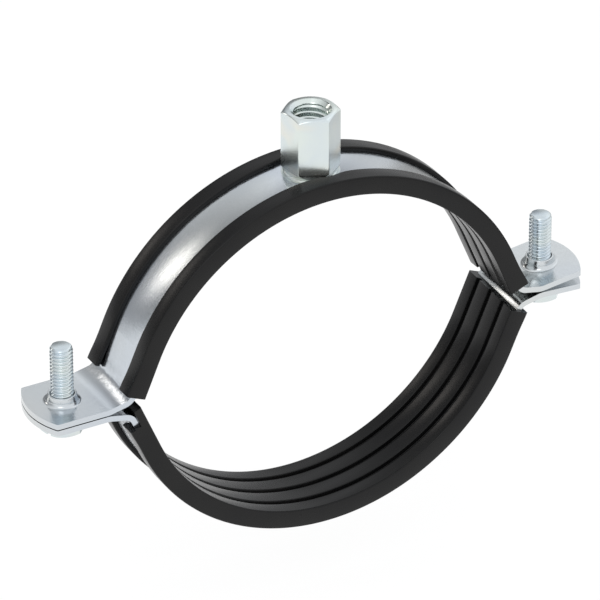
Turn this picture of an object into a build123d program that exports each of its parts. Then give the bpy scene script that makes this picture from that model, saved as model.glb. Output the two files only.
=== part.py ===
import os
from math import cos, radians, sin, tan

from build123d import *

os.makedirs("parts", exist_ok=True)

# A two-piece pipe clamp lined with rubber, drawn shut and with no pipe in it.
# The origin is the centre of the upper half's arc, at mid width. X runs across the ears,
# Y along the pipe and Z up through the hanger nut.

# Rubber lining
pipe_radius = 52.5  # over the crests of the ribs
groove_depth = 1.2
groove_width = 1.75  # at the crests
groove_draft = 12.0  # slope of a groove's walls
groove_spacing = 6.15
web_thickness = 1.0  # between a groove's floor and the band
edge_wall = 0.95  # beside the band's edge
lip_thickness = 1.2
lip_width = 4.8  # from the rubber's side face to the lip's free edge
corner_bevel = 0.4  # along the four outer corners of its section
rubber_fit = 0.05  # round the band, on every side

# Bands
band_width = 20.0
band_thickness = 1.5
wrap_angle = 67.0  # from the crown to where the arc runs out into a straight leg
bend_radius = 2.5  # inside the bend at the foot of a leg
ramp_angle = 12.0  # of the short ramp between that bend and the flat of the ear
ramp_length = 5.0  # sideways, from the foot of the leg
ramp_radius = 5.0  # inside the bend between ramp and flat
split_height = 8.3  # plane between the two ears of a pair
ear_gap = 0.3
right_upper_lift = 7.0  # the right pair springs open from the ramp outwards
right_lower_droop = 3.0
ear_end_margin = 6.3  # from a screw's axis out to the ear's corners
ear_bow = 2.8  # how far an ear's rounded end stands past its corners
ear_corner_rounding = 0.6

# Where the rubber ends, from the split plane to its nearest corner
upper_end_gap = 2.4
lower_right_end_gap = 2.3
lower_left_lip_gap = 4.1
tongue_length = 5.0  # bare web past the lips, at the lower left

# Clamp screws
left_stand_off = 13.1  # from the foot of a leg out to the screw's axis
right_stand_off = 10.4
screw_radius = 3.0  # over the thread
screw_length = 19.0  # under the head
tip_chamfer = 0.8
flange_radius = 7.0
flange_thickness = 1.0
flange_cone_height = 1.0  # between the flange's rim and the hexagon
hex_width = 10.0  # across the flats
head_height = 4.5
hex_turn = 20.0
corner_slope = 30.0  # of the bevel on the corners of screw heads and nut
slot_width = 1.2
slot_depth = 1.6
head_seat_gap = 0.05  # flange to ear

# Holes in the ears
thread_clearance = 0.05  # between screw and tapped collar
plain_hole_clearance = 0.3  # between screw and the hole below
collar_height = 2.3  # at the screw's axis
collar_base_radius = 4.1
collar_top_radius = 3.65
collar_flare = 0.5  # where a collar rises from its ear
collar_entry = 0.5  # bevel round the pierced underside
collar_rim_bevel = 0.2

# Hanger nut
nut_width = 13.0  # across the flats
nut_height = 17.0  # above the band's crown
nut_turn = 7.5  # from the X axis to the middle of the nearest flat
nut_mouth_radius = 7.0  # where its upper corners begin to fall away
nut_base_radius = 6.3  # of the nut's round foot
nut_base_slope = 53.0  # of the bevel on its lower corners, from level
large_thread_bore = 4.25
large_thread_depth = 9.0
small_thread_bore = 3.4
base_entry_radius = 4.1  # bevel where the smaller thread opens on the band
countersink_radius = 5.25
countersink_angle = 90.0
weld_radius = 7.7
weld_height = 1.1  # above the band's crown
weld_slope = 40.0  # from upright
weld_side_gap = 0.15  # to the lips beside it
nut_side_gap = 0.1  # to the lips that the nut presses back

# What follows from those sizes
rubber_depth = groove_depth + web_thickness
band_inner_radius = pipe_radius + rubber_depth + rubber_fit
band_outer_radius = band_inner_radius + band_thickness
band_slot_depth = band_thickness + 2 * rubber_fit
section_depth = rubber_depth + band_slot_depth + lip_thickness
rubber_half_width = band_width / 2 + rubber_fit + edge_wall
lip_edge = rubber_half_width - lip_width
ear_face = split_height + ear_gap / 2
ear_top = ear_face + band_thickness
lower_ear_face = 2 * split_height - ear_face
nut_top = band_outer_radius + nut_height
leg_slope = 1 / tan(radians(wrap_angle))  # sideways for each unit of height
split_plane = Plane.XY.offset(split_height)
clear_past = 1.0  # how far a cutting shape runs past the piece that it cuts
hexagon_sides = 6
quarter_turn = 90
half_turn = 180


def leg_x(radius, height):
    """How far out a leg is, at a height, when it leaves an arc of this radius."""
    arc_end_x = radius * sin(radians(wrap_angle))
    arc_end_height = radius * cos(radians(wrap_angle))
    return arc_end_x + (arc_end_height - height) * leg_slope


leg_foot = leg_x(band_outer_radius, ear_top)
knee = leg_foot + ramp_length  # where a ramp meets the flat of its ear
left_screw_x = -(leg_foot + left_stand_off)
right_screw_x = leg_foot + right_stand_off
left_corner = left_screw_x - ear_end_margin
right_corner = right_screw_x + ear_end_margin
left_reach = left_corner - ear_bow
right_reach = right_corner + ear_bow
upper_rise = (right_screw_x - knee) * tan(radians(right_upper_lift))  # at the right screw
lower_drop = (right_screw_x + flange_radius - knee) * tan(radians(right_lower_droop))
left_head_seat = lower_ear_face - band_thickness - head_seat_gap
right_head_seat = left_head_seat - lower_drop


def half_line(radius, left_height, right_height):
    """Left leg, arc and right leg of one half, from left to right."""
    arc = CenterArc((0, 0), radius, quarter_turn + wrap_angle, -2 * wrap_angle)
    Line((-leg_x(radius, left_height), left_height), arc @ 0)
    Line(arc @ 1, (leg_x(radius, right_height), right_height))


def strip(right_lift):
    """The rolled strip of one half, as the upper one, with its right ear turned up so far."""
    ramp_slope = tan(radians(ramp_angle))
    foot_rise = (knee - leg_x(band_inner_radius, ear_face)) * ramp_slope
    foot_height = ear_face + foot_rise / (1 - leg_slope * ramp_slope)
    foot_x = leg_x(band_inner_radius, foot_height)
    ends = (left_reach - clear_past, right_reach + clear_past)
    tip_height = ear_face + (ends[1] - knee) * tan(radians(right_lift))
    with BuildPart() as rolled:
        with BuildSketch(Plane.XZ):
            with BuildLine():
                half_line(band_inner_radius, foot_height, foot_height)
                Polyline((ends[0], ear_face), (-knee, ear_face), (-foot_x, foot_height))
                Polyline((foot_x, foot_height), (knee, ear_face), (ends[1], tip_height))
                fillet(
                    vertices().filter_by(lambda corner: abs(abs(corner.X) - foot_x) < ear_gap),
                    bend_radius + band_thickness,
                )
                fillet(
                    vertices().filter_by(lambda corner: abs(abs(corner.X) - knee) < ear_gap),
                    ramp_radius + band_thickness,
                )
                offset(amount=band_thickness, side=Side.LEFT)
            make_face()
        extrude(amount=band_width / 2, both=True)
        with BuildSketch():
            with BuildLine():
                for corner, reach in ((left_corner, left_reach), (right_corner, right_reach)):
                    ThreePointArc(
                        (corner, -band_width / 2),
                        (reach, 0),
                        (corner, band_width / 2),
                    )
                for edge in (-1, 1):
                    Line(
                        (left_corner, edge * band_width / 2),
                        (right_corner, edge * band_width / 2),
                    )
            make_face()
            fillet(vertices(), ear_corner_rounding)
        extrude(amount=2 * band_outer_radius, mode=Mode.INTERSECT)
    return rolled.part


# Upper band: each ear carries a drawn and tapped collar
upper_strip = strip(right_upper_lift)
with BuildPart() as upper_band:
    add(upper_strip)
    for screw_x, rise in ((left_screw_x, 0), (right_screw_x, upper_rise)):
        with Locations((screw_x, 0, ear_top + rise + collar_height)):
            Cone(
                collar_base_radius,
                collar_top_radius,
                collar_height + rise,
                align=(Align.CENTER, Align.CENTER, Align.MAX),
            )
            foot = edges(Select.LAST).filter_by(GeomType.LINE, reverse=True).sort_by(Axis.Z)[0]
            chamfer(foot, collar_flare)
            Hole(screw_radius + thread_clearance)
            rounds = edges(Select.LAST).filter_by(GeomType.LINE, reverse=True).sort_by(Axis.Z)
            chamfer(rounds[0], collar_entry)
            chamfer(rounds[-1], collar_rim_bevel)

# Lower band: a strip turned over, with plain holes
lower_strip = strip(right_lower_droop)
with BuildPart() as lower_band:
    mirror(lower_strip, about=split_plane)
    with Locations(*[(screw_x, 0, lower_ear_face) for screw_x in (left_screw_x, right_screw_x)]):
        Hole(screw_radius + plain_hole_clearance)


def section_outline():
    """Across the rubber: ribs at the bottom, then the band's slot between two folded lips."""
    Rectangle(2 * rubber_half_width, section_depth, align=(Align.CENTER, Align.MIN))
    chamfer(vertices(), corner_bevel)
    with Locations((0, rubber_depth)):
        Rectangle(
            band_width + 2 * rubber_fit,
            band_slot_depth,
            align=(Align.CENTER, Align.MIN),
            mode=Mode.SUBTRACT,
        )
        Rectangle(
            2 * lip_edge,
            section_depth,
            align=(Align.CENTER, Align.MIN),
            mode=Mode.SUBTRACT,
        )
    with Locations(*[(place * groove_spacing, 0) for place in (-1, 0, 1)]):
        Trapezoid(
            groove_width,
            groove_depth,
            quarter_turn - groove_draft,
            align=(Align.CENTER, Align.MIN),
            mode=Mode.SUBTRACT,
        )


def rubber_half(left_gap, right_gap, tongue):
    """The lining of one half, drawn as the upper one, with or without a tongue at its left."""
    with BuildPart() as rubber:
        with BuildLine(Plane.XZ) as run:
            half_line(pipe_radius, split_height + left_gap, split_height + right_gap)
        run_wire = run.wire()
        left_end = Plane(origin=run_wire @ 0, x_dir=(0, 1, 0), z_dir=run_wire % 0)
        with BuildSketch(left_end):
            section_outline()
        sweep(path=run_wire)
        if tongue:
            with BuildSketch(left_end):
                section_outline()
                split(bisect_by=Plane.XZ.offset(-rubber_depth), keep=Keep.TOP)
            extrude(amount=-tongue)
    return rubber.part


def hexagon(across_flats, turn):
    """A hexagon with the middle of one flat at this angle from the X axis."""
    RegularPolygon(
        across_flats / 2,
        hexagon_sides,
        major_radius=False,
        rotation=turn - half_turn / hexagon_sides,
    )


def root_radius(end_radius, height, slope):
    """Of a cone that takes the corners off a hexagon's end, this far back from the end."""
    return end_radius + height / tan(radians(slope))


# Upper lining, its lips pressed back by the nut that stands between them
upper_rubber = rubber_half(upper_end_gap, upper_end_gap, 0)
with BuildPart() as upper_liner:
    add(upper_rubber)
    with BuildSketch(Plane.XY.offset(band_inner_radius)):
        hexagon(nut_width + 2 * nut_side_gap, nut_turn)
    extrude(amount=section_depth, mode=Mode.SUBTRACT)

# Lower lining, pushed round so that its left web stands proud of the lips
lower_rubber = rubber_half(lower_left_lip_gap, lower_right_end_gap, tongue_length)
with BuildPart() as lower_liner:
    mirror(lower_rubber, about=split_plane)

# Hanger nut: a hexagon with two threads, coped to the band and welded on
with BuildPart() as hanger_nut:
    with BuildSketch(Plane.XY.offset(band_inner_radius)):
        hexagon(nut_width, nut_turn)
    extrude(amount=nut_top - band_inner_radius)
    with Locations((0, 0, nut_top)):
        Cone(
            root_radius(nut_mouth_radius, nut_top - band_inner_radius, corner_slope),
            nut_mouth_radius,
            nut_top - band_inner_radius,
            align=(Align.CENTER, Align.CENTER, Align.MAX),
            mode=Mode.INTERSECT,
        )
    with Locations((0, 0, band_outer_radius)):
        Cone(
            nut_base_radius,
            root_radius(nut_base_radius, nut_height, nut_base_slope),
            nut_height,
            align=(Align.CENTER, Align.CENTER, Align.MIN),
            mode=Mode.INTERSECT,
        )
    with BuildSketch(Plane.XY.offset(band_inner_radius + band_thickness / 2)):
        Circle(weld_radius)
        Rectangle(2 * weld_radius, 2 * (lip_edge - weld_side_gap), mode=Mode.INTERSECT)
    extrude(amount=band_thickness / 2 + weld_height, taper=weld_slope)
    Cylinder(
        band_outer_radius,
        2 * band_width,
        rotation=(quarter_turn, 0, 0),
        mode=Mode.SUBTRACT,
    )
    with Locations((0, 0, band_outer_radius - clear_past)):
        Cone(
            base_entry_radius + clear_past,
            small_thread_bore,
            base_entry_radius - small_thread_bore + clear_past,
            align=(Align.CENTER, Align.CENTER, Align.MIN),
            mode=Mode.SUBTRACT,
        )
    with Locations((0, 0, nut_top)):
        Hole(small_thread_bore)
        CounterSinkHole(
            large_thread_bore,
            countersink_radius,
            large_thread_depth,
            countersink_angle,
        )


def clamp_screw(place, head_seat):
    """A flanged hexagon screw, head down, with its axis at this X and its head up to this Z."""
    axis_plane = Plane(origin=(place, 0, 0), x_dir=(1, 0, 0), z_dir=(0, -1, 0))
    screw_axis = Axis((place, 0, 0), (0, 0, 1))
    head_end = head_seat - head_height
    with BuildPart() as screw:
        with BuildSketch(Plane((place, 0, head_end))):
            hexagon(hex_width, hex_turn)
        extrude(amount=head_height - flange_thickness)
        with Locations((place, 0, head_end)):
            Cone(
                hex_width / 2,
                root_radius(hex_width / 2, head_height, corner_slope),
                head_height,
                align=(Align.CENTER, Align.CENTER, Align.MIN),
                mode=Mode.INTERSECT,
            )
        with BuildSketch(axis_plane):
            with BuildLine():
                Polyline(
                    (0, head_seat - flange_thickness - flange_cone_height),
                    (hex_width / 2, head_seat - flange_thickness - flange_cone_height),
                    (flange_radius, head_seat - flange_thickness),
                    (flange_radius, head_seat),
                    (screw_radius, head_seat),
                    (screw_radius, head_seat + screw_length - tip_chamfer),
                    (screw_radius - tip_chamfer, head_seat + screw_length),
                    (0, head_seat + screw_length),
                    close=True,
                )
            make_face()
        revolve(axis=screw_axis)
        with BuildSketch(Plane((place, 0, head_end))):
            Rectangle(2 * flange_radius, slot_width, rotation=hex_turn)
        extrude(amount=slot_depth, mode=Mode.SUBTRACT)
    return screw


left_screw = clamp_screw(left_screw_x, left_head_seat)
right_screw = clamp_screw(right_screw_x, right_head_seat)

pieces = {
    "upper_band": upper_band,
    "lower_band": lower_band,
    "upper_liner": upper_liner,
    "lower_liner": lower_liner,
    "hanger_nut": hanger_nut,
    "left_screw": left_screw,
    "right_screw": right_screw,
}
for name, piece in pieces.items():
    piece.part.label = name
    export_step(piece.part, f"parts/{name}.step")
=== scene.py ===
import math

import bmesh
import bpy
import numpy as np
from mathutils import Matrix, Vector


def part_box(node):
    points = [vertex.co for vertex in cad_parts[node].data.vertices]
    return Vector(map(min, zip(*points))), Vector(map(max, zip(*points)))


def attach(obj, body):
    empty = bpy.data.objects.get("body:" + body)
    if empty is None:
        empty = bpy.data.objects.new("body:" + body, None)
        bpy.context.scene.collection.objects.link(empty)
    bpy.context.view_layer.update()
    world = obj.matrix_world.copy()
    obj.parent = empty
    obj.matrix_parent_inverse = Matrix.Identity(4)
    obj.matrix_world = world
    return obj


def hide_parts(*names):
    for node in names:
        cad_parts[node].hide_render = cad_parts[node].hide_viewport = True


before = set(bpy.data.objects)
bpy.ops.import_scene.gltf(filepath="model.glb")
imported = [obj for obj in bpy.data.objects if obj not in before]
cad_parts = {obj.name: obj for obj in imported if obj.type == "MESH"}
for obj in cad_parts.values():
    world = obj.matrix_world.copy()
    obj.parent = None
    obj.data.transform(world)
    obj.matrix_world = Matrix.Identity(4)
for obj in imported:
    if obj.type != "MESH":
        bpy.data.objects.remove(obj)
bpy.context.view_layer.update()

mm = 0.001


class Term:  # one output in a shader tree, so that sums on it read as sums
    def __init__(self, finish, socket):
        self.finish = finish
        self.socket = socket

    def maths(self, operation, first, second, clamp=False):
        return self.finish.node("ShaderNodeMath", {"operation": operation, "use_clamp": clamp},
                                {0: first, 1: second})

    def __add__(self, other): return self.maths("ADD", self, other)
    def __radd__(self, other): return self.maths("ADD", other, self)
    def __sub__(self, other): return self.maths("SUBTRACT", self, other)
    def __rsub__(self, other): return self.maths("SUBTRACT", other, self)
    def __mul__(self, other): return self.maths("MULTIPLY", self, other)
    def __rmul__(self, other): return self.maths("MULTIPLY", other, self)
    def __truediv__(self, other): return self.maths("DIVIDE", self, other)
    def exponential(self): return self.maths("EXPONENT", self, 0.0)
    def size(self): return self.maths("ABSOLUTE", self, 0.0)
    def clamped(self): return self.maths("ADD", self, 0.0, clamp=True)
    def above(self, other): return self.maths("GREATER_THAN", self, other)

    def fade(self, low, high, fromValue=0.0, toValue=1.0):  # smooth step from low to high
        return self.finish.node("ShaderNodeMapRange", {"interpolation_type": "SMOOTHSTEP"},
                                {"Value": self, "From Min": low, "From Max": high,
                                 "To Min": fromValue, "To Max": toValue})


class Finish:  # one material, or the world
    def __init__(self, tree):
        self.tree = tree
        self.tree.nodes.clear()

    def node(self, kind, settings=None, inputs=None, output=0):
        made = self.tree.nodes.new(kind)
        for key, value in (settings or {}).items():
            if key == "stops":
                ramp = made.color_ramp
                while len(ramp.elements) < len(value):
                    ramp.elements.new(0.5)
                for element, (place, colour) in zip(ramp.elements, value):
                    element.position = place
                    element.color = colour
            else:
                setattr(made, key, value)
        for key, value in (inputs or {}).items():
            if isinstance(value, Term):
                self.tree.links.new(value.socket, made.inputs[key])
            else:
                made.inputs[key].default_value = value
        return Term(self, made.outputs[output]) if made.outputs else made

    def objectPlace(self, scale=(1, 1, 1), turn=(0, 0, 0)):
        place = self.node("ShaderNodeTexCoord", output="Object")
        return self.node("ShaderNodeMapping", {}, {"Vector": place, "Scale": scale, "Rotation": turn})

    def noise(self, place, scale, detail=2.0, roughness=0.5, distortion=0.0):
        return self.node("ShaderNodeTexNoise", {},
                         {"Vector": place, "Scale": scale, "Detail": detail,
                          "Roughness": roughness, "Distortion": distortion})

    def separate(self, vector, axis):
        return self.node("ShaderNodeSeparateXYZ", {}, {0: vector}, axis)

    def mixColour(self, amount, first, second, blend="MIX"):
        return self.node("ShaderNodeMix", {"data_type": "RGBA", "blend_type": blend},
                         {"Factor": amount, "A": first, "B": second}, "Result")

    def bump(self, height, distance, strength=1.0, below=None):
        inputs = {"Height": height, "Distance": distance, "Strength": strength}
        if below is not None:
            inputs["Normal"] = below
        return self.node("ShaderNodeBump", {}, inputs)


def newMaterial(name):
    material = bpy.data.materials.new(name)
    material.use_nodes = True
    return material, Finish(material.node_tree)


def colourOf(red, green, blue):
    return (red, green, blue, 1.0)


# bright zinc plate: a metal tint that drifts between cool, green and straw, over fine grain
def zincFinish(name, look, weld=None, strip=None):
    material, finish = newMaterial(name)
    place = finish.objectPlace()
    drift = finish.noise(place, look["driftScale"], roughness=0.45, distortion=0.4).fade(0.32, 0.68)
    turned = finish.objectPlace(scale=(1, 1, 1.7), turn=(0.4, 0.9, 0.2))
    straw = finish.noise(turned, look["driftScale"] * 0.7, detail=1.5).fade(0.5, 0.75)
    tint = finish.mixColour(drift, colourOf(*look["cool"]), colourOf(*look["green"]))
    tint = finish.mixColour(straw * look["strawAmount"], tint, colourOf(*look["straw"]))
    grain = finish.noise(place, look["grainScale"], detail=3.0, roughness=0.6)
    cloud = finish.noise(place, look["cloudScale"], detail=3.0, roughness=0.55)
    roughness = (look["roughness"] + (grain - 0.5) * look["grainRoughness"]
                 + (cloud - 0.5) * look["cloudRoughness"])
    if weld:  # the weld at the foot is rougher
        atWeld = finish.separate(place, "Z").fade(weld["none"], weld["full"])
        roughness = roughness + atWeld * weld["roughness"]
    peel = finish.bump(cloud, look["peelDepth"] * mm, strength=0.6)
    normal = finish.bump(grain, look["grainDepth"] * mm, strength=0.5, below=peel)
    if strip:  # a shallow trough across its width, (y / half width)^2, and creases at the left leg's foot
        across, along, height = (finish.separate(place, axis) for axis in "YXZ")
        onRing = along.size().fade(*strip["ring"])
        trough = across * across * (1 / strip["halfWidth"] ** 2) * onRing
        normal = finish.bump(trough, strip["troughDepth"] * mm, below=normal)
        atBend = (along.fade(*strip["bendInside"]) * along.fade(*strip["bendOutside"])
                  * height.fade(*strip["bendTop"]))
        creases = finish.noise(place, strip["creaseScale"], roughness=0.6)
        normal = finish.bump(creases * atBend, strip["creaseDepth"] * mm, below=normal)
    shader = finish.node("ShaderNodeBsdfPrincipled", {},
                         {"Base Color": tint, "Metallic": 1.0, "Roughness": roughness, "Normal": normal})
    finish.node("ShaderNodeOutputMaterial", {}, {"Surface": shader})
    return material


bandZincLook = {
    "cool": (0.60, 0.645, 0.70), "green": (0.66, 0.69, 0.70), "straw": (0.72, 0.70, 0.64),
    "strawAmount": 0.35, "driftScale": 28.0, "grainScale": 2400.0, "cloudScale": 700.0,
    "roughness": 0.20, "grainRoughness": 0.18, "cloudRoughness": 0.12,
    "peelDepth": 0.014, "grainDepth": 0.030,
}
rolledStrip = {  # each pair is where a fade is none and where it is full, in metres
    "halfWidth": 0.010, "troughDepth": 0.80, "ring": (0.066, 0.048),
    "creaseDepth": 0.09, "creaseScale": 330.0, "bendTop": (0.016, 0.013),
    "bendInside": (-0.0535, -0.0560), "bendOutside": (-0.0605, -0.0575),
}
nutZincLook = {
    "cool": (0.70, 0.765, 0.78), "green": (0.75, 0.81, 0.775), "straw": (0.84, 0.80, 0.69),
    "strawAmount": 0.75, "driftScale": 120.0, "grainScale": 6000.0, "cloudScale": 500.0,
    "roughness": 0.20, "grainRoughness": 0.10, "cloudRoughness": 0.08,
    "peelDepth": 0.006, "grainDepth": 0.003,
}
weldFoot = {"none": 0.0578, "full": 0.0572, "roughness": 0.25}
screwZincLook = {
    "cool": (0.62, 0.70, 0.76), "green": (0.70, 0.76, 0.76), "straw": (0.78, 0.78, 0.72),
    "strawAmount": 0.3, "driftScale": 160.0, "grainScale": 6000.0, "cloudScale": 900.0,
    "roughness": 0.22, "grainRoughness": 0.10, "cloudRoughness": 0.08,
    "peelDepth": 0.008, "grainDepth": 0.004,
}
bandZinc = zincFinish("band zinc", bandZincLook, strip=rolledStrip)
nutZinc = zincFinish("nut zinc", nutZincLook, weld=weldFoot)
screwZinc = zincFinish("screw zinc", screwZincLook)

rubberLook = {
    "dark": (0.0035, 0.0035, 0.0038), "worn": (0.0070, 0.0066, 0.0064),
    "roughness": 0.26, "flowRoughness": 0.16, "skinRoughness": 0.12, "refraction": 1.34,
    "flowScale": 40.0, "skinScale": 2600.0, "skinDepth": 0.02,
}


# moulded rubber: near black, satin, with a fine skin and faint marks from the die
def rubberFinish(name, look):
    material, finish = newMaterial(name)
    place = finish.objectPlace()
    flow = finish.noise(place, look["flowScale"], detail=4.0, roughness=0.6)
    skin = finish.noise(place, look["skinScale"], roughness=0.6)
    colour = finish.mixColour(flow.fade(0.35, 0.7), colourOf(*look["dark"]), colourOf(*look["worn"]))
    roughness = (look["roughness"] + (flow - 0.5) * look["flowRoughness"]
                 + (skin - 0.5) * look["skinRoughness"])
    normal = finish.bump(skin, look["skinDepth"] * mm, strength=0.35)
    shader = finish.node("ShaderNodeBsdfPrincipled", {},
                         {"Base Color": colour, "Roughness": roughness, "Normal": normal,
                          "IOR": look["refraction"]})
    finish.node("ShaderNodeOutputMaterial", {}, {"Surface": shader})
    return material


liningRubber = rubberFinish("lining rubber", rubberLook)
print("finishes ready")


def meshFrom(name, points, faces):
    mesh = bpy.data.meshes.new(name)
    mesh.from_pydata((np.asarray(points) * mm).tolist(), [], [list(map(int, face)) for face in faces])
    return mesh


def smoothFaces(mesh):
    for polygon in mesh.polygons:
        polygon.use_smooth = True


def readPoints(mesh):  # in millimetres
    points = np.zeros(len(mesh.vertices) * 3)
    mesh.vertices.foreach_get("co", points)
    return points.reshape(-1, 3) / mm


def gridQuads(rows, columns, seamShift=0):  # columns wrap, and the last one joins the first some rows up
    row, column = np.meshgrid(np.arange(rows - 1 - seamShift), np.arange(columns), indexing="ij")
    nextColumn = (column + 1) % columns
    climb = np.where(column + 1 == columns, seamShift, 0)
    here, beside = row * columns + column, (row + climb) * columns + nextColumn
    return np.stack([here, beside, beside + columns, here + columns], -1).reshape(-1, 4)


def addPiece(name, mesh, body, finish, sharpDegrees=35.0):
    mesh.validate()
    mesh.materials.clear()
    mesh.materials.append(finish)
    smoothFaces(mesh)
    mesh.set_sharp_from_angle(angle=math.radians(sharpDegrees))
    piece = bpy.data.objects.new(name, mesh)
    bpy.context.scene.collection.objects.link(piece)
    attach(piece, body)
    return piece


def cleanMesh(mesh, merge=0.0005, fillHoles=False, outward=True):  # merge is in millimetres
    work = bmesh.new()
    work.from_mesh(mesh)
    bmesh.ops.remove_doubles(work, verts=work.verts, dist=merge * mm)
    bmesh.ops.dissolve_degenerate(work, edges=work.edges, dist=merge * mm * 0.5)
    if fillHoles:
        rims = [edge for edge in work.edges if edge.is_boundary]
        bmesh.ops.holes_fill(work, edges=rims, sides=0)
    if outward:
        bmesh.ops.recalc_face_normals(work, faces=work.faces)
    work.to_mesh(mesh)
    work.free()
    return mesh


lining = {
    "pipeRadius": 52.5, "wrapDegrees": 67.0, "splitHeight": 8.3,
    "grooveDepth": 1.2, "grooveWidth": 1.75, "grooveDraft": 12.0, "grooveSpacing": 6.15,
    "webThickness": 1.0, "bandThickness": 1.5, "bandHalfWidth": 10.0, "fit": 0.05,
    "halfWidth": 11.0, "lipThickness": 1.2, "lipWidth": 4.8,
    "cornerRound": 0.42, "crestRound": 0.22, "rootRound": 0.18, "lipRound": 0.35,
    "underLipRound": 0.12, "slotRound": 0.1, "lipRamp": 4.0,
    "flareReach": 4.0, "skewReach": 12.0, "nutCorner": 0.98, "nutPushReach": 2.3, "nutLift": 0.22,
    "arcSteps": 220, "legSteps": 12,
}
upperHalf = {  # gaps run from the split to the lips' ends; the tongue is bare web past the left end
    "leftGap": 2.4, "rightGap": 2.4, "tongue": 0.0, "rightSkew": 1.7, "flare": 0.45,
    "nutPush": 1.38, "turnedOver": False,
}
lowerHalf = {
    "leftGap": 4.1, "rightGap": 2.3, "tongue": 5.0, "rightSkew": 0.8, "flare": 0.3,
    "nutPush": 0.0, "turnedOver": True,
}


def roundedLoop(corners, steps=4):  # a closed outline whose corners are (across, out, radius)
    loop = []
    count = len(corners)
    for index in range(count):
        here = np.array(corners[index][:2], float)
        before = np.array(corners[index - 1][:2], float) - here
        after = np.array(corners[(index + 1) % count][:2], float) - here
        radius = corners[index][2]
        lengthBefore, lengthAfter = np.linalg.norm(before), np.linalg.norm(after)
        before, after = before / lengthBefore, after / lengthAfter
        half = math.acos(max(-1.0, min(1.0, float(before @ after)))) / 2
        reach = radius / math.tan(half)
        if radius <= 0:
            loop.append(here)
            continue
        middle = here + (before + after) / np.linalg.norm(before + after) * radius / math.sin(half)
        start, end = here + before * reach - middle, here + after * reach - middle
        sweep = math.atan2(start[0] * end[1] - start[1] * end[0], float(start @ end))
        turns = np.linspace(0.0, sweep, steps + 1)
        cosine, sine = np.cos(turns), np.sin(turns)
        loop.extend(middle + np.stack([start[0] * cosine - start[1] * sine,
                                       start[0] * sine + start[1] * cosine], -1))
    return np.array(loop)


def liningOutline(values):  # ribs below, then side, lip and slot, and back down the other side
    half = values["halfWidth"]
    web = values["grooveDepth"] + values["webThickness"]
    slot = web + values["bandThickness"] + 2 * values["fit"]
    top = slot + values["lipThickness"]
    slotHalf = values["bandHalfWidth"] + values["fit"]
    lipEdge = half - values["lipWidth"]
    mouthHalf = values["grooveWidth"] / 2
    floorHalf = mouthHalf - values["grooveDepth"] * math.tan(math.radians(values["grooveDraft"]))
    corners = [(-half, 0, values["cornerRound"])]
    for middle in (-values["grooveSpacing"], 0.0, values["grooveSpacing"]):
        corners += [(middle - mouthHalf, 0, values["crestRound"]),
                    (middle - floorHalf, values["grooveDepth"], values["rootRound"]),
                    (middle + floorHalf, values["grooveDepth"], values["rootRound"]),
                    (middle + mouthHalf, 0, values["crestRound"])]
    rightSide = [(half, top, values["cornerRound"]), (lipEdge, top, values["lipRound"]),
                 (lipEdge, slot, values["underLipRound"]), (slotHalf, slot, values["slotRound"]),
                 (slotHalf, web, values["slotRound"])]
    corners += [(half, 0, values["cornerRound"]), *rightSide]
    corners += [(-across, out, radius) for across, out, radius in reversed(rightSide)]
    return roundedLoop(corners), web, slot, lipEdge


def liningPath(values, leftHeight, rightHeight):  # place and outward direction along leg, arc and leg
    wrap = math.radians(values["wrapDegrees"])
    radius = values["pipeRadius"]
    slope = 1 / math.tan(wrap)
    endX, endZ = radius * math.sin(wrap), radius * math.cos(wrap)
    turn = np.linspace(-wrap, wrap, values["arcSteps"])
    arcPlace = np.stack([radius * np.sin(turn), radius * np.cos(turn)], -1)
    arcOut = np.stack([np.sin(turn), np.cos(turn)], -1)
    share = np.linspace(1.0, 0.0, values["legSteps"])[:-1, None]
    leftEnd = np.array([-(endX + (endZ - leftHeight) * slope), leftHeight])
    rightEnd = np.array([endX + (endZ - rightHeight) * slope, rightHeight])
    leftLeg = arcPlace[0] + (leftEnd - arcPlace[0]) * share
    rightLeg = arcPlace[-1] + (rightEnd - arcPlace[-1]) * share[::-1]
    place = np.concatenate([leftLeg, arcPlace, rightLeg])
    out = np.concatenate([np.repeat(arcOut[:1], len(leftLeg), 0), arcOut,
                          np.repeat(arcOut[-1:], len(rightLeg), 0)])
    return place, out


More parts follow.
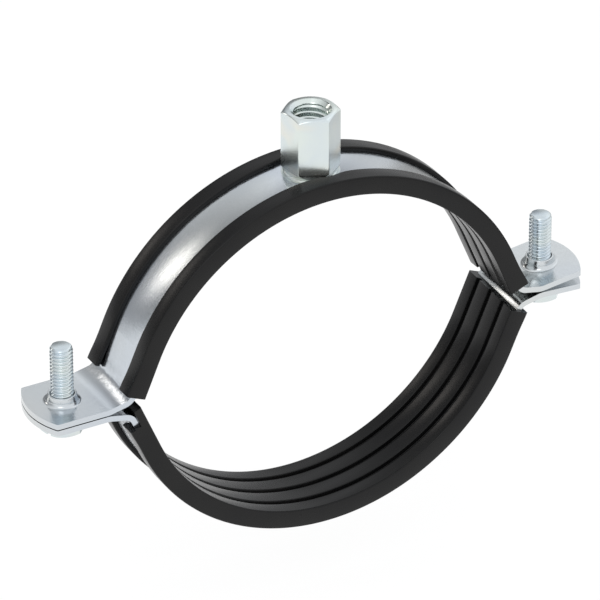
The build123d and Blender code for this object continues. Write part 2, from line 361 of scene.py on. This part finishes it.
def liningMesh(name, values, half):
    # the outline carried along the path, point = place + out * depth, with the rubber's give added
    outline, web, slot, lipEdge = liningOutline(values)
    split = values["splitHeight"]
    place, out = liningPath(values, split + half["leftGap"], split + half["rightGap"])
    across = np.repeat(outline[None, :, 0], len(place), 0)
    deep = np.repeat(outline[None, :, 1], len(place), 0)

    def inLip():  # 0 in the web, 1 in the lips
        return np.clip((deep - (web + slot) / 2) / (slot - web) * values["lipRamp"], 0, 1)
    if half["nutPush"]:  # the nut presses the lips' free edges back: a bell curve along the path
        side = np.sign(across)
        bandHalf = values["bandHalfWidth"]
        nearEdge = np.clip((bandHalf - np.abs(across)) / (bandHalf - lipEdge), 0, 1)
        along = place[:, :1] + side * values["nutCorner"]  # the nut's nearest corner on each side
        swell = np.exp(-(along / values["nutPushReach"]) ** 2 / 2)
        onTop = deep > slot + values["lipThickness"] / 3
        across = across + side * nearEdge * inLip() * swell * half["nutPush"]
        deep = deep + inLip() * onTop * nearEdge * swell * values["nutLift"]
    run = np.concatenate([[0.0], np.cumsum(np.linalg.norm(np.diff(place, axis=0), axis=1))])[:, None]
    fromEnd = np.minimum(run, run[-1] - run)
    lift = half["flare"] * np.exp(-(fromEnd / values["flareReach"]) ** 2)
    deep = deep + lift * inLip()  # the band's bend lifts the lips' ends
    legRight = (place[-1] - place[-2]) / np.linalg.norm(place[-1] - place[-2])
    nearRight = np.clip(1 - (run[-1] - run) / values["skewReach"], 0, 1)
    skew = half["rightSkew"] * (across / values["halfWidth"] + 1) / 2 * nearRight
    shiftX, shiftZ = skew * legRight[0], skew * legRight[1]
    if half["tongue"]:  # bare web past the lips' end
        bare = outline[:, 1] > web + 0.01
        tongueAcross = np.where(bare, np.sign(outline[:, 0]) * values["halfWidth"], outline[:, 0])
        tongueDeep = np.minimum(outline[:, 1], web)
        along = np.array([place[0] - place[1]]) / np.linalg.norm(place[0] - place[1])
        reach = np.array([1.0, 0.66, 0.33, 0.0])[:, None] * half["tongue"]
        place = np.concatenate([place[:1] + along * reach, place])
        out = np.concatenate([np.repeat(out[:1], 4, 0), out])
        across = np.concatenate([np.repeat(tongueAcross[None], 4, 0), across])
        deep = np.concatenate([np.repeat(tongueDeep[None], 4, 0), deep])
        still = np.zeros((4, len(outline)))
        shiftX, shiftZ = np.concatenate([still, shiftX]), np.concatenate([still, shiftZ])
    x = place[:, :1] + out[:, :1] * deep + shiftX
    z = place[:, 1:] + out[:, 1:] * deep + shiftZ
    if half["turnedOver"]:
        z = 2 * split - z
    points = np.stack([x, across, z], -1).reshape(-1, 3)
    rows, columns = across.shape
    caps = [np.arange(columns), np.arange(columns)[::-1] + (rows - 1) * columns]
    return cleanMesh(meshFrom(name, points, [*gridQuads(rows, columns), *caps]))


upperLining = addPiece("upper_lining", liningMesh("upper_lining", lining, upperHalf),
                       "upper_half", liningRubber, 40.0)
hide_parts("upper_liner")
lowerLining = addPiece("lower_lining", liningMesh("lower_lining", lining, lowerHalf),
                       "lower_half", liningRubber, 40.0)
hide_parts("lower_liner")
print("linings ready")


threadRidge = {  # shares of one pitch, and how far up from root to crest the profile stands there
    "phases": [0.0, 0.09, 0.2, 0.32, 0.42, 0.5, 0.58, 0.68, 0.8, 0.91],
    "corners": [0.0, 0.07, 0.40, 0.5, 0.60, 0.93, 1.0], "heights": [1.0, 1.0, 0.06, 0.0, 0.06, 1.0, 1.0],
}


def threadTube(low, high, pitch, crest, root, limit, columns=64):
    # a helix: height climbs one pitch per turn, and radius follows the 60 degree ridge along each pitch
    phases = np.array(threadRidge["phases"])
    ridge = np.interp(phases, threadRidge["corners"], threadRidge["heights"])
    turns = int(math.ceil((high - low) / pitch)) + 2
    rowHeight = low - pitch + (np.arange(turns)[:, None] + phases).reshape(-1) * pitch
    rowRadius = np.tile(root + (crest - root) * ridge, turns)
    turn = np.linspace(0.0, 2 * math.pi, columns, endpoint=False)
    height = np.clip(rowHeight[:, None] + turn / (2 * math.pi) * pitch, low, high)
    radius = limit(np.repeat(rowRadius[:, None], columns, 1), height)
    points = np.stack([radius * np.cos(turn), radius * np.sin(turn), height], -1)
    return points.reshape(-1, 3), gridQuads(len(rowHeight), columns, len(phases))


def joinParts(name, parts):  # parts of (points, faces) in one mesh
    points, faces, base = [], [], 0
    for partPoints, partFaces in parts:
        points.append(partPoints)
        faces += [[int(v) + base for v in face] for face in partFaces]
        base += len(partPoints)
    return meshFrom(name, np.concatenate(points), faces)


def keptFaces(nodeName, keep, bevel=0.0):  # merged copy of a CAD node's faces, in millimetres
    work = bmesh.new()
    work.from_mesh(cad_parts[nodeName].data)
    bmesh.ops.remove_doubles(work, verts=work.verts, dist=0.001 * mm)
    unwanted = [face for face in work.faces
                if not keep(np.array([v.co for v in face.verts]) / mm, face.normal)]
    bmesh.ops.delete(work, geom=unwanted, context="FACES")
    bmesh.ops.dissolve_limit(work, angle_limit=math.radians(0.5), verts=work.verts, edges=work.edges)
    if bevel:
        corners = [edge for edge in work.edges if len(edge.link_faces) == 2
                   and edge.calc_face_angle() > math.radians(40) and edge.calc_length() > 2 * mm]
        bmesh.ops.bevel(work, geom=corners, offset=bevel * mm, segments=2, profile=0.5,
                        affect="EDGES", clamp_overlap=True)
    work.verts.index_update()
    points = np.array([v.co for v in work.verts]) / mm
    faces = [[v.index for v in face.verts] for face in work.faces]
    work.free()
    return points, faces


clampScrew = {
    "length": 19.0, "radius": 2.92, "rootRadius": 2.40,
    "pitch": 1.0, "tipChamfer": 1.1, "tipRadius": 2.15, "headBevel": 0.15, "headOverlap": 0.1,
}


def screwPiece(name, node, body, values):
    low, high = (np.array(corner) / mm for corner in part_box(node))
    axisX, tip = (low[0] + high[0]) / 2, high[2]
    headSeat = tip - values["length"]

    def limit(radius, height):  # the point falls away as a quarter ellipse
        past = np.clip(1 - (tip - height) / values["tipChamfer"], 0, 1)
        step = values["radius"] - values["tipRadius"]
        return np.minimum(radius, values["tipRadius"] + step * np.sqrt(1 - past ** 2))
    points, quads = threadTube(headSeat - values["headOverlap"], tip, values["pitch"],
                               values["radius"], values["rootRadius"], limit)
    thread = cleanMesh(meshFrom(name, points, quads), 0.002, fillHoles=True)
    threadFaces = [list(polygon.vertices) for polygon in thread.polygons]
    threadPoints = readPoints(thread) + np.array([axisX, 0, 0])
    head = keptFaces(node, lambda corners, normal: corners[:, 2].max() < headSeat + 0.05,
                     values["headBevel"])
    mesh = joinParts(name, [head, (threadPoints, threadFaces)])
    piece = addPiece(name, mesh, body, screwZinc, 42.0)
    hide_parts(node)


screwPiece("left_threaded_screw", "left_screw", "left_clamp_screw", clampScrew)
screwPiece("right_threaded_screw", "right_screw", "right_clamp_screw", clampScrew)
print("screws ready")


hangerNut = {
    "crown": 56.25, "threadDepth": 9.0, "sinkRadius": 5.25,
    "largeCrest": 4.25, "largeRoot": 4.95, "largePitch": 1.5, "fadeFrom": 0.7, "mouthFade": 1.4,
    "smallCrest": 3.4, "smallRoot": 3.95, "smallPitch": 1.25, "boreSteps": 72,
    "beadRadius": 6.8, "beadInner": 5.9, "beadHeight": 0.6, "beadHalfWidth": 6.02,
    "beadWander": 0.15, "beadSink": 0.08, "beadRipple": 0.07, "beadRipples": 29,
    "flat": 6.5, "edgeBevel": 0.35, "rimSoftening": 0.14, "crownRadius": 6.3, "crownSlope": 30.0,
    "footRadius": 6.3, "footSlope": 53.0, "footGap": 0.1, "skirtRadius": 6.2, "skirtDepth": 0.6,
    "weldTop": 57.4,
}


def beadGrid(values, columns=144, rows=12):
    # round the nut's foot: height over the band rises as a quarter ellipse, with the ripples of a weld
    turn, share = np.meshgrid(np.linspace(0, 2 * math.pi, columns, endpoint=False),
                              np.linspace(0, 1, rows))
    atBandEdge = values["beadHalfWidth"] / np.maximum(np.abs(np.sin(turn)), 0.01)
    outer = np.minimum(values["beadRadius"] + values["beadWander"] * np.sin(5 * turn + 1.0), atBandEdge)
    radius = outer + (values["beadInner"] - outer) * share
    wave = np.sin(values["beadRipples"] * turn + 5 * share + 1.7 * np.sin(3 * turn))
    ripple = wave * values["beadRipple"] * np.sin(math.pi * share)
    height = (values["beadHeight"] * np.sqrt(1 - (1 - share) ** 2) + ripple
              - values["beadSink"] * (1 - share))
    x, y = radius * np.cos(turn), radius * np.sin(turn)
    z = np.sqrt(values["crown"] ** 2 - x ** 2) + height
    return np.stack([x, y, z], -1).reshape(-1, 3), gridQuads(rows, columns)


def nutShell(values, top, cornerTurn):
    # six rounded corners joined by flats, and cones that cut the crown and the foot:
    # z = top - (r - crownRadius) tan(crownSlope) and z = foot + (r - footRadius) tan(footSlope)
    corners = cornerTurn + np.arange(6)[:, None] * math.pi / 3
    swing = corners + np.radians(np.linspace(-30, 30, 5))
    reach = (values["flat"] - values["edgeBevel"]) / math.cos(math.pi / 6)
    arcs = np.stack([reach * np.cos(corners) + values["edgeBevel"] * np.cos(swing),
                     reach * np.sin(corners) + values["edgeBevel"] * np.sin(swing)], -1)
    share = np.linspace(0, 1, 9)[1:-1, None]
    flats = arcs[:, -1:] * (1 - share) + np.roll(arcs, -1, 0)[:, :1] * share
    outline = np.concatenate([arcs, flats], 1).reshape(-1, 2)
    radius = np.hypot(outline[:, 0], outline[:, 1])
    inset = radius - values["rimSoftening"]
    fall = math.tan(math.radians(values["crownSlope"]))
    climb = math.tan(math.radians(values["footSlope"]))
    same = np.ones(len(radius))
    foot = values["crown"] + values["footGap"]

    def crownAt(reached):
        return top - np.maximum(reached - values["crownRadius"], 0) * fall
    rows = [(same * values["skirtRadius"], same * (foot - values["skirtDepth"])),
            (same * values["footRadius"], same * foot),
            (radius, foot + np.maximum(radius - values["footRadius"], 0) * climb),
            (radius, crownAt(radius) - values["rimSoftening"] * 0.8), (inset, crownAt(inset)),
            (np.minimum(inset - 0.02, values["crownRadius"]), same * top),
            (same * values["sinkRadius"], same * top)]
    unit = outline / radius[:, None]
    points = np.stack([np.column_stack([unit * ring[:, None], level]) for ring, level in rows])
    return points.reshape(-1, 3), gridQuads(len(rows), len(radius))


def hangerNutPiece(values):
    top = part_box("hanger_nut")[1][2] / mm
    step = top - values["threadDepth"]

    def largeLimit(radius, height):  # the thread fades in below the countersink
        depth = top - height
        fade = np.clip((depth - values["fadeFrom"]) / values["mouthFade"], 0, 1)
        faded = values["largeCrest"] + (radius - values["largeCrest"]) * fade
        return np.maximum(faded, values["sinkRadius"] - depth)
    columns = values["boreSteps"]
    large = threadTube(step, top, values["largePitch"], values["largeRoot"], values["largeCrest"],
                       largeLimit, columns)
    small = threadTube(values["crown"] - 0.2, step, values["smallPitch"], values["smallRoot"],
                       values["smallCrest"], lambda radius, height: radius, columns)
    turn = np.linspace(0.0, 2 * math.pi, columns, endpoint=False)
    shelfRadius = np.array([values["largeRoot"] + 0.05, 3.7])[:, None]  # the step between the two bores
    shelf = np.stack([shelfRadius * np.cos(turn), shelfRadius * np.sin(turn),
                      np.full((2, columns), step)], -1)

    def isPlain(corners, normal):
        return corners[:, 2].min() > values["weldTop"]

    def isUnder(corners, normal):
        return normal.z < -0.5 and corners[:, 2].max() < values["weldTop"]
    plain = keptFaces("hanger_nut", isPlain)[0]
    farthest = plain[np.argmax(np.hypot(plain[:, 0], plain[:, 1]))]  # shows how the hexagon is turned
    outside = nutShell(values, top, math.atan2(farthest[1], farthest[0]))
    inner = [(points, quads[:, ::-1]) for points, quads in (large, small)]
    mesh = joinParts("threaded_hanger_nut", [outside, keptFaces("hanger_nut", isUnder), *inner,
                                             (shelf.reshape(-1, 3), gridQuads(2, columns)),
                                             beadGrid(values)])
    cleanMesh(mesh, 0.002, outward=False)
    piece = addPiece("threaded_hanger_nut", mesh, "upper_half", nutZinc, 32.0)
    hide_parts("hanger_nut")


hangerNutPiece(hangerNut)
print("hanger nut ready")

collar = {  # the cut takes the plain collar away; the ear's slope is read from the ring round it
    "footRadius": 4.9, "waistRadius": 3.85, "footHeight": 1.3, "topRadius": 3.62, "boreRadius": 3.06,
    "rimRound": 0.26, "footBlend": 1.4, "boreDepth": 1.45, "aboveEar": 0.004,
    "cutRadius": 4.75, "cutAbove": 0.03, "cutBelow": 1.2, "slopeRadius": 9.0,
}
upperFold = {"start": -62.57, "end": -55.86, "lowest": 4.8, "slack": 0.02, "tilt": 67.0, "easing": 1.25}
lowerFold = {"start": 62.74, "end": 54.48, "lowest": 4.8, "slack": 0.02, "tilt": 67.0, "easing": 2.6}


def softenFold(points, normals, fold):
    # one sweep of the normals over the whole fold: tilt * (run / length)^easing
    side = math.copysign(1.0, fold["start"] - fold["end"])
    fromStart, fromEnd = (fold["start"] - points[:, 0]) * side, (points[:, 0] - fold["end"]) * side
    onFold = (np.minimum(fromStart, fromEnd) > -fold["slack"]) & (points[:, 2] > fold["lowest"])
    onFold &= (np.abs(normals[:, 1]) < 0.3) & (normals[:, 2] > 0.1) & (normals[:, 0] < 0.02)  # its top
    order = np.argsort(-points[onFold, 0] * side)
    place = points[onFold][order][:, [0, 2]]
    run = np.concatenate([[0.0], np.cumsum(np.linalg.norm(np.diff(place, axis=0), axis=1))])
    angle = np.radians(fold["tilt"]) * (run / run[-1]) ** fold["easing"]
    swept = np.stack([-np.sin(angle), np.zeros(len(angle)), np.cos(angle)], -1)
    normals[np.flatnonzero(onFold)[order]] = swept


def collarGrid(values, axisX, footAt, top, bottom, columns=96):
    # up a hollow quarter of an ellipse from the ear, up the neck, over a rounded rim and down the bore
    quarter, over = np.linspace(0, math.pi / 2, 9), np.linspace(0, math.pi, 9)
    height = top - footAt(axisX)
    wall = (values["topRadius"] - values["boreRadius"]) / 2
    radius = np.concatenate([
        values["footRadius"] - (values["footRadius"] - values["waistRadius"]) * np.sin(quarter),
        values["boreRadius"] + wall * (1 + np.cos(over)), [values["boreRadius"]]])
    rise = np.concatenate([
        values["footHeight"] * (1 - np.cos(quarter)),
        height - values["rimRound"] * (1 - np.sin(over)), [bottom - footAt(axisX)]])
    turn = np.linspace(0, 2 * math.pi, columns, endpoint=False)
    x = axisX + radius[:, None] * np.cos(turn)
    y = radius[:, None] * np.sin(turn)
    level = np.clip(rise / height * values["footBlend"], 0, 1)[:, None]  # foot on the slope, rim level
    z = (footAt(x) * (1 - level) + footAt(axisX) * level) + rise[:, None]
    return np.stack([x, y, z], -1).reshape(-1, 3), gridQuads(len(radius), columns)


def cornerNormals(mesh):
    normals = np.zeros(len(mesh.loops) * 3)
    mesh.corner_normals.foreach_get("vector", normals)
    return normals.reshape(-1, 3)


def bandPiece(name, node, body, values, fold, screwNodes):
    # the strip's own faces, merged by place, with each corner's normal carried along
    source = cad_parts[node].data
    points = readPoints(source)
    faces = np.zeros(len(source.loops), int)
    source.loops.foreach_get("vertex_index", faces)
    _, first, merged = np.unique(np.round(points, 4), axis=0, return_index=True, return_inverse=True)
    points, faces = points[first], merged.ravel()[faces].reshape(-1, 3)
    normals = cornerNormals(source)
    softenFold(points[faces.ravel()], normals, fold)
    normals = normals.reshape(-1, 3, 3)
    middle, upward = points[faces].mean(1), normals[:, :, 2].mean(1)
    kept = np.ones(len(faces), bool)
    grids, gridNormals = [], []
    for screwNode in screwNodes:
        low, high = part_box(screwNode)
        axisX = (low.x + high.x) / 2 / mm
        reach = np.hypot(middle[:, 0] - axisX, middle[:, 1])
        near = reach < values["cutRadius"]
        flat = points[faces[(upward > 0.9) & ~near & (reach < values["slopeRadius"])]].reshape(-1, 3)
        plane = np.polyfit(flat[:, 0], flat[:, 2], 1)

        def footAt(x):  # the ear's top, along its slope
            return np.polyval(plane, x) + values["aboveEar"]
        overEar = middle[:, 2] - footAt(middle[:, 0])
        kept &= ~(near & (overEar > -values["cutBelow"]) & (np.abs(upward) < 0.9))
        kept &= ~(near & (overEar > values["cutAbove"]))
        top = points[faces[near].ravel()][:, 2].max()
        bottom = footAt(axisX) - values["boreDepth"]
        grid = meshFrom("collar", *collarGrid(values, axisX, footAt, top, bottom))
        smoothFaces(grid)
        grids.append((readPoints(grid), [list(polygon.vertices) for polygon in grid.polygons]))
        gridNormals.append(cornerNormals(grid))
    used, renumbered = np.unique(faces[kept], return_inverse=True)
    mesh = joinParts(name, [(points[used], renumbered.reshape(-1, 3)), *grids])
    mesh.materials.append(bandZinc)
    smoothFaces(mesh)
    allNormals = np.concatenate([normals[kept].reshape(-1, 3), *gridNormals])
    mesh.normals_split_custom_set(allNormals.tolist())
    piece = bpy.data.objects.new(name, mesh)
    bpy.context.scene.collection.objects.link(piece)
    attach(piece, body)
    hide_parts(node)


bandPiece("collared_upper_band", "upper_band", "upper_half", collar, upperFold,
          ("left_screw", "right_screw"))
bandPiece("plain_lower_band", "lower_band", "lower_half", collar, lowerFold, ())
print("bands ready")


studio = {
    "floorHeight": -0.0560, "floorHalf": 6.0,  # low enough that the parted halves stay above it
    "floorGlow": 1.04, "floorShare": 0.9, "floorDim": 0.35, "dimFrom": (0.14, 0.32),
    "backStops": [(0.0, 0.42), (0.10, 0.26), (0.32, 0.22), (0.55, 0.34), (1.0, 0.85)],  # horizon to zenith
    "backFrom": (-0.35, 0.35), "frontLevel": 1.0, "seenLevel": 1.05,
    "sideFrom": (0.72, 0.55), "sideLevel": 0.22, "rightFrom": (0.40, 0.62), "rightLevel": 0.5,
    "skyTint": (0.965, 0.98, 1.0), "coreTint": (1.0, 0.93, 0.86),
    "fillPlace": (-1.0, -1.1, 1.5), "fillSize": 1.0, "fillPower": 2.5,
}
farLamps = {  # directions from the ring's middle; lengths and widths are shares of a unit sphere
    "strip": {"toward": (-0.50, 0.80, 0.33), "along": (0.713, 0.188, 0.675),
              "length": 0.34, "width": 0.12, "level": 0.15},
    "core": {"toward": (-0.475, 0.80, 0.37), "along": (0.713, 0.188, 0.675),
             "length": 0.17, "width": 0.05, "level": 4.2},
    "window": {"toward": (0.32, 0.75, 0.60), "along": (1.0, 0.0, 0.0),
               "length": 0.30, "width": 0.16, "level": 0.68},
}

scene = bpy.context.scene
scene.view_settings.view_transform = "Standard"
floorHalf = studio["floorHalf"]
floorMesh = bpy.data.meshes.new("floor")
floorMesh.from_pydata([(x * floorHalf, y * floorHalf, studio["floorHeight"])
                       for x, y in ((-1, -1), (1, -1), (1, 1), (-1, 1))], [], [(0, 1, 2, 3)])
floor = bpy.data.objects.new("floor", floorMesh)
scene.collection.objects.link(floor)
floorMaterial, floorFinish = newMaterial("pale floor")
path = floorFinish.node("ShaderNodeLightPath", output="Is Camera Ray")
glossy = floorFinish.node("ShaderNodeLightPath", output="Is Glossy Ray")
matt = floorFinish.node("ShaderNodeBsdfDiffuse", {}, {"Color": colourOf(0.86, 0.86, 0.86)})
farRight = floorFinish.separate(floorFinish.objectPlace(), "X").fade(*studio["dimFrom"])
glowLevel = (1 - farRight * glossy * (1 - studio["floorDim"])) * studio["floorGlow"]
glow = floorFinish.node("ShaderNodeEmission", {}, {"Color": colourOf(1, 1, 1), "Strength": glowLevel})
seen = (path + glossy).clamped() * studio["floorShare"]
surface = floorFinish.node("ShaderNodeMixShader", {}, {0: seen, 1: matt, 2: glow})
floorFinish.node("ShaderNodeOutputMaterial", {}, {"Surface": surface})
floorMesh.materials.append(floorMaterial)

world = bpy.data.worlds.new("studio")
scene.world = world
world.use_nodes = True
sky = Finish(world.node_tree)
direction = sky.node("ShaderNodeTexCoord", output="Generated")
height = sky.separate(direction, "Z").clamped()
backStops = [(place, colourOf(value, value, value)) for place, value in studio["backStops"]]
backLevel = sky.node("ShaderNodeValToRGB", {"stops": backStops}, {"Fac": height})
towardBack = sky.separate(direction, "Y").fade(*studio["backFrom"])
side = sky.separate(direction, "Y").fade(*studio["sideFrom"]) * towardBack * studio["sideLevel"]
atRight = sky.separate(direction, "X").fade(*studio["rightFrom"]) * towardBack
side = side + atRight * studio["rightLevel"]
level = backLevel * towardBack + (1 - towardBack) * studio["frontLevel"] + side


def lobe(look):  # a soft-edged lamp far away: exp(-(u/length)^2 - (v/width)^2) about its middle
    toward = Vector(look["toward"]).normalized()
    along = Vector(look["along"])
    along = (along - toward * along.dot(toward)).normalized()
    reach = [sky.node("ShaderNodeVectorMath", {"operation": "DOT_PRODUCT"}, {0: direction, 1: axis}, "Value")
             for axis in (toward, along, toward.cross(along))]
    u, v = reach[1] / look["length"], reach[2] / look["width"]
    return (0 - (u * u + v * v)).exponential() * reach[0].above(0.0) * look["level"]


strip, core, window = (lobe(farLamps[name]) for name in ("strip", "core", "window"))
seenSky = sky.node("ShaderNodeLightPath", output="Is Camera Ray")
hidden = 1 - seenSky
skyLevel = (level + strip + window) * hidden + seenSky * studio["seenLevel"]
light = sky.node("ShaderNodeBackground", {},
                 {"Color": colourOf(*studio["skyTint"]), "Strength": skyLevel})
coreLight = sky.node("ShaderNodeBackground", {},
                     {"Color": colourOf(*studio["coreTint"]), "Strength": core * hidden})
background = sky.node("ShaderNodeAddShader", {}, {0: light, 1: coreLight})
sky.node("ShaderNodeOutputWorld", {}, {"Surface": background})


def softLamp(name, place, size, power, aim=(0, 0, 0.01)):
    lamp = bpy.data.lights.new(name, "AREA")
    lamp.shape = "DISK"
    lamp.size = size
    lamp.energy = power
    holder = bpy.data.objects.new(name, lamp)
    holder.location = place
    holder.rotation_euler = (Vector(place) - Vector(aim)).to_track_quat("Z", "Y").to_euler()
    scene.collection.objects.link(holder)


softLamp("fill lamp", studio["fillPlace"], studio["fillSize"], studio["fillPower"])

view = {"azimuth": -29.06, "elevation": 30.59, "roll": 0.05, "distance": 1.4124,
        "right": -0.002595, "up": 0.015965, "focalPixels": 5591.0, "imageWidth": 600}
azimuth, elevation = math.radians(view["azimuth"]), math.radians(view["elevation"])
back = Vector((math.sin(azimuth) * math.cos(elevation),
               -math.cos(azimuth) * math.cos(elevation), math.sin(elevation)))
right = Vector((math.cos(azimuth), math.sin(azimuth), 0.0))
up = back.cross(right)
camera = bpy.data.cameras.new("camera")
camera.sensor_width = 36.0
camera.lens = view["focalPixels"] / view["imageWidth"] * camera.sensor_width
camera.clip_end = 50.0
cameraObject = bpy.data.objects.new("camera", camera)
cameraPlace = right * view["right"] + up * view["up"] + back * view["distance"]
axes = Matrix((right, up, back)).transposed() @ Matrix.Rotation(math.radians(view["roll"]), 3, "Z")
cameraObject.matrix_world = Matrix.Translation(cameraPlace) @ axes.to_4x4()
scene.collection.objects.link(cameraObject)
scene.camera = cameraObject
print("studio ready")
